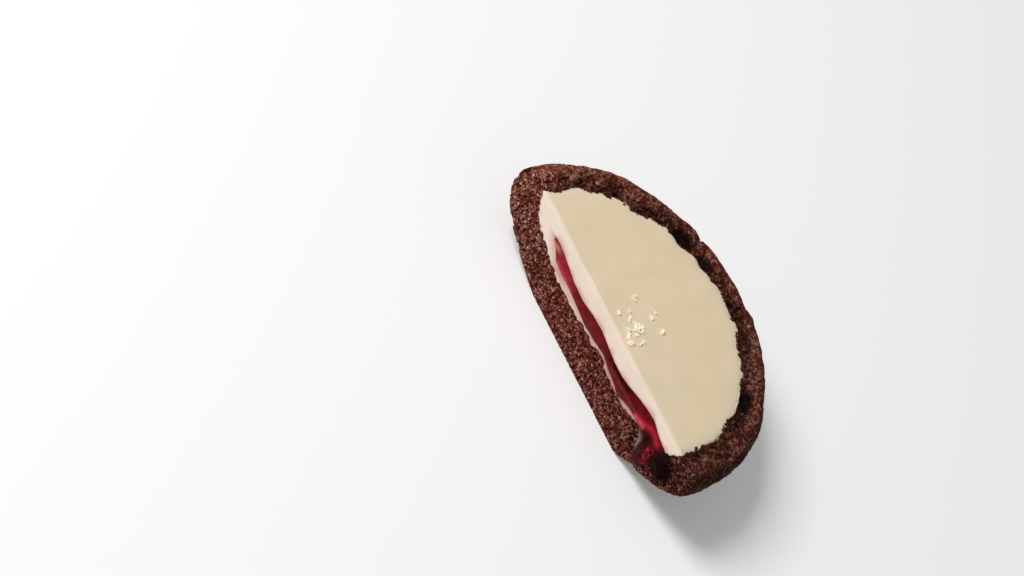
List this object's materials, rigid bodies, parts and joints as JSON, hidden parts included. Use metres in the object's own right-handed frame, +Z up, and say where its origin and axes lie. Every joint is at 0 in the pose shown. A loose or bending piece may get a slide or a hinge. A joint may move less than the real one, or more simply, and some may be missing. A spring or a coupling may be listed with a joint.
{
  "type": "sable cookie",
  "caption": "Half of a round cocoa sable cookie, cut to show its set cream filling, a jam layer that pools at one end, and a small berry.",
  "frame": {"origin": "middle of the bounding box's underside, on the surface that the half lies on", "axes": "+X along the cut towards the end with the jam pool, +Y from the cut face towards the rounded back, +Z up out of the cream"},
  "size_m": [0.0592, 0.0321, 0.0138],
  "materials": {
    "crust": "baked, rough and crumbly",
    "cream": "smooth, set, soft satin",
    "jam": "wet, glossy",
    "berry": "wet, glossy"
  },
  "bodies": {
    "root": {"crust": "crust", "cream": "cream", "jam": "jam", "berry": "berry"}
  },
  "joints": []
}
